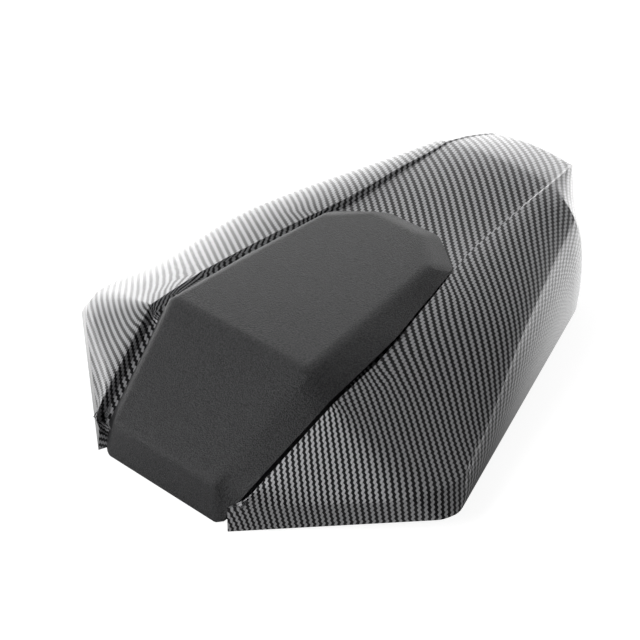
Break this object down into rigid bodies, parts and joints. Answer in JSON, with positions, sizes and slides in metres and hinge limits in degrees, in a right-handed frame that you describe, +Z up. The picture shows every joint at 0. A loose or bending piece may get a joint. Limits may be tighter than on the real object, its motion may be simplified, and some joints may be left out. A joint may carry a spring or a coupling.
{
  "type": "seat cowl",
  "caption": "Motorcycle passenger-seat cowl: faceted twill-patterned glossy shell with a padded rubber backstop, ribbed base, lock striker loop and rear tongue.",
  "frame": {"origin": "middle of the overall length and width, on the plane that the part stands on", "axes": "+X forwards, towards the rider's seat, +Y to the rider's left, +Z up"},
  "size_m": [0.312, 0.2712, 0.0753],
  "materials": {
    "shell": "gloss clear coat over a silver and black twill print",
    "pad": "fine grain, matt",
    "base": "matt moulded",
    "damper": "smooth matt",
    "steel": "zinc plated"
  },
  "bodies": {
    "root": {"cowl_shell": "shell", "stop_pad": "pad", "pad_studs": "steel", "pad_washers": "steel", "pad_nuts": "steel", "pad_front_screws": "steel", "base_pan": "base", "base_screws": "steel", "base_washers": "steel", "damper_front_left": "damper", "damper_front_right": "damper", "damper_rear_left": "damper", "damper_rear_right": "damper", "striker_plate": "steel", "striker_loop": "steel", "striker_washers": "steel", "striker_nuts": "steel", "plate_screws": "steel", "rear_tongue": "steel", "tongue_screws": "steel"}
  },
  "joints": []
}
